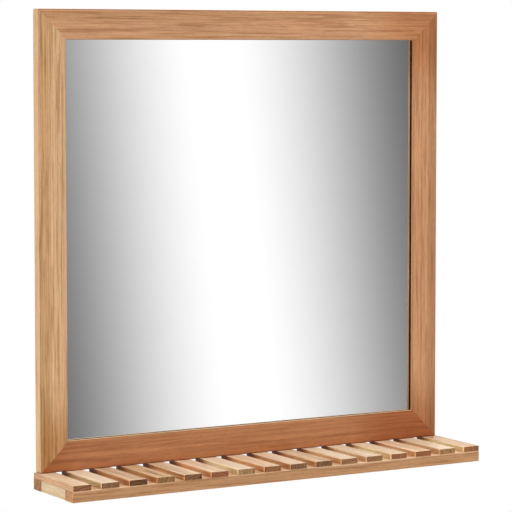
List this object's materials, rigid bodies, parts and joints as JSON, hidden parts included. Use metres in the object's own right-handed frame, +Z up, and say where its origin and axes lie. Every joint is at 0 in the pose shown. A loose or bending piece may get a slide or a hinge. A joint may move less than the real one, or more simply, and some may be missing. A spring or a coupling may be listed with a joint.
{
  "type": "mirror with shelf",
  "caption": "Square wall mirror in a mitred, crowned wooden frame that stands on a slatted wooden shelf, with two keyhole hangers let into its back.",
  "frame": {"origin": "on the wall plane, halfway between the centres of the two hangers' round entry holes", "axes": "+X to the viewer's right along the shelf, +Y into the wall, +Z up; the mirror faces -Y"},
  "size_m": [0.6, 0.111, 0.597],
  "materials": {
    "left_stile_wood": "oiled honey-coloured hardwood, straight grain",
    "right_stile_wood": "oiled reddish hardwood, straight grain",
    "top_rail_wood": "oiled hardwood, straight grain",
    "bottom_rail_wood": "oiled red-brown hardwood, straight grain",
    "batten_wood": "oiled hardwood",
    "end_rail_wood": "oiled pale sapwood",
    "slat_wood": "oiled light hardwood, planed",
    "dowel_wood": "plain beech",
    "silvered_glass": "float glass, silvered on its back",
    "hardboard": "brown hardboard, smooth face out",
    "zinc_steel": "zinc-plated steel"
  },
  "bodies": {
    "root": {"left_stile": "left_stile_wood", "right_stile": "right_stile_wood", "top_rail": "top_rail_wood", "bottom_rail": "bottom_rail_wood", "mitre_dowels": "dowel_wood", "mirror_glass": "silvered_glass", "back_panel": "hardboard", "panel_screws": "zinc_steel", "left_hanger": "zinc_steel", "right_hanger": "zinc_steel", "hanger_screws": "zinc_steel", "front_batten": "batten_wood", "back_batten": "batten_wood", "left_end_rail": "end_rail_wood", "right_end_rail": "end_rail_wood", "end_rail_dowels": "dowel_wood", "slat_01": "slat_wood", "slat_02": "slat_wood", "slat_03": "slat_wood", "slat_04": "slat_wood", "slat_05": "slat_wood", "slat_06": "slat_wood", "slat_07": "slat_wood", "slat_08": "slat_wood", "slat_09": "slat_wood", "slat_10": "slat_wood", "slat_11": "slat_wood", "slat_12": "slat_wood", "slat_13": "slat_wood", "slat_14": "slat_wood", "slat_15": "slat_wood", "slat_16": "slat_wood", "slat_screws": "zinc_steel", "shelf_screws": "zinc_steel"}
  },
  "joints": []
}
